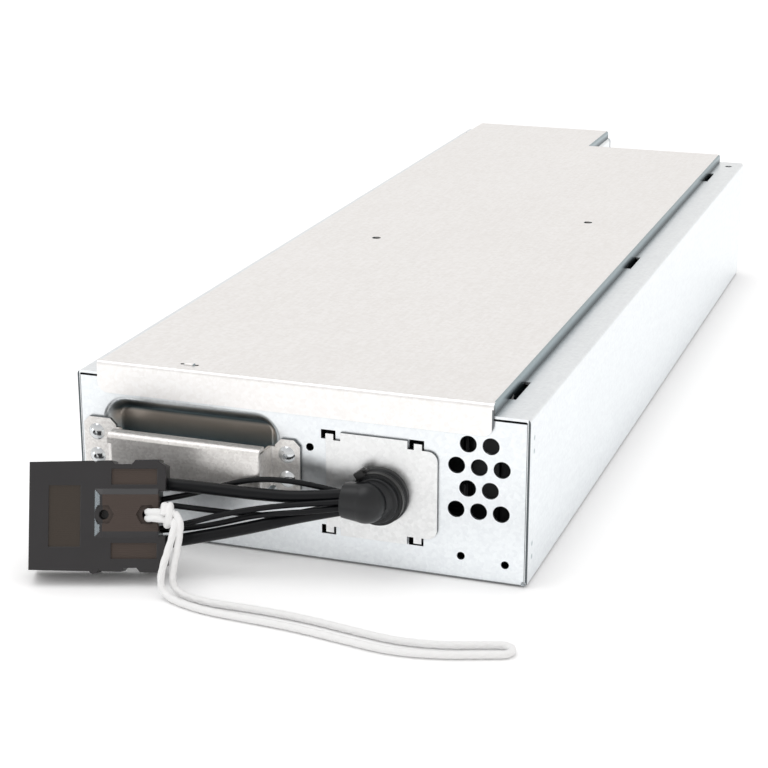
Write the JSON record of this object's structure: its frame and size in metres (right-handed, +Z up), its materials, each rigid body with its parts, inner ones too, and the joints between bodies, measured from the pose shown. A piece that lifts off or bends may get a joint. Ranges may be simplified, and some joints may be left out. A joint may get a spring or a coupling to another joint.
{
  "type": "ups battery cartridge",
  "caption": "Slide-in battery cartridge: folded zinc-coated tray with raised lid, riveted pull handle over a finger pocket, vents, elbow cable boot and a lead with plug and pull cord.",
  "frame": {"origin": "middle of the tray's underside", "axes": "+X to the right seen from the front, +Y from the front panel to the rear, +Z up"},
  "size_m": [0.2255, 0.6849, 0.083],
  "materials": {
    "tray_sheet": "zinc-coated sheet, faint spangle",
    "lid_sheet": "zinc-coated sheet, faint streaks",
    "handle_sheet": "zinc-coated strip",
    "rivet_metal": "bright zinc",
    "plate_sheet": "zinc-coated sheet",
    "gland_plastic": "moulded, satin",
    "boot_rubber": "soft rubber",
    "tie_plastic": "nylon",
    "plug_plastic": "moulded, fine grain",
    "contact_metal": "silver plate",
    "wire_jacket": "soft jacket",
    "cord_braid": "white braid",
    "link_jacket": "wire jacket",
    "liner_film": "film",
    "foam": "closed-cell foam",
    "fuse_moulding": "moulded",
    "fuse_case": "ceramic-filled tube",
    "battery_case": "moulded case"
  },
  "bodies": {
    "root": {"battery_01": "battery_case", "battery_02": "battery_case", "battery_03": "battery_case", "battery_04": "battery_case", "battery_05": "battery_case", "battery_06": "battery_case", "battery_07": "battery_case", "battery_08": "battery_case", "battery_09": "battery_case", "battery_10": "battery_case", "boot_tie": "tie_plastic", "cable_boot": "boot_rubber", "cable_plate": "plate_sheet", "fuse": "fuse_case", "fuse_base": "fuse_moulding", "fuse_leads": "link_jacket", "fuse_screws": "rivet_metal", "gland_collar": "gland_plastic", "gland_nut": "gland_plastic", "handle_bracket": "handle_sheet", "handle_rivets": "rivet_metal", "inner_lead_negative": "link_jacket", "inner_lead_positive": "link_jacket", "inner_sense_leads": "link_jacket", "lid": "lid_sheet", "liner_sheet": "liner_film", "middle_pad": "foam", "plug_contacts": "contact_metal", "plug_housing": "plug_plastic", "power_wire_negative": "wire_jacket", "power_wire_positive": "wire_jacket", "pull_cord": "cord_braid", "pull_cord_knot": "cord_braid", "rear_pad": "foam", "sense_wire_1": "wire_jacket", "sense_wire_2": "wire_jacket", "sense_wire_3": "wire_jacket", "sense_wire_4": "wire_jacket", "series_links": "link_jacket", "side_pad_left": "foam", "side_pad_right": "foam", "temperature_sensor": "fuse_moulding", "top_pads": "foam", "tray": "tray_sheet"}
  },
  "joints": []
}
